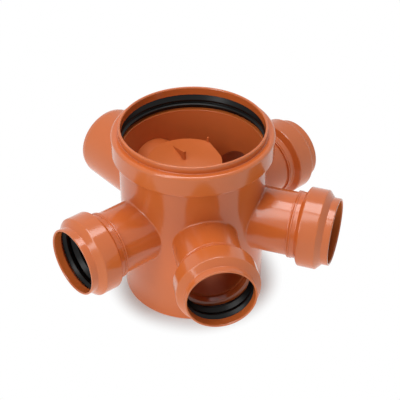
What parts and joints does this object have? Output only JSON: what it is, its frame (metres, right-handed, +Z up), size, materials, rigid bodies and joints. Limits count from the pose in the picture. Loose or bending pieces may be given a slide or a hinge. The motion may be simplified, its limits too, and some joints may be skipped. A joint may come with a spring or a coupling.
{
  "type": "patio gully trap",
  "caption": "Drum-shaped drain gully in moulded plastic with a ring-seal riser socket, side inlet sockets, a plain outlet spigot and a dip trap with a rodding cap inside.",
  "frame": {"origin": "centre of the foot, on the surface that the gully stands on", "axes": "+Z up along the chamber's axis through the riser socket, +Y along the outlet spigot"},
  "size_m": [0.4252, 0.408, 0.2716],
  "materials": {
    "terracotta_pvc": "moulded PVC-U, satin",
    "black_rubber": "moulded EPDM"
  },
  "bodies": {
    "root": {"gully_body": "terracotta_pvc", "inlet_socket_1": "terracotta_pvc", "inlet_socket_2": "terracotta_pvc", "inlet_socket_3": "terracotta_pvc", "inlet_socket_4": "terracotta_pvc", "inlet_seal_1": "black_rubber", "inlet_seal_2": "black_rubber", "inlet_seal_3": "black_rubber", "inlet_seal_4": "black_rubber", "riser_seal": "black_rubber", "trap_tee": "terracotta_pvc", "trap_ring": "black_rubber", "trap_cap": "terracotta_pvc", "cap_ring": "black_rubber"}
  },
  "joints": []
}
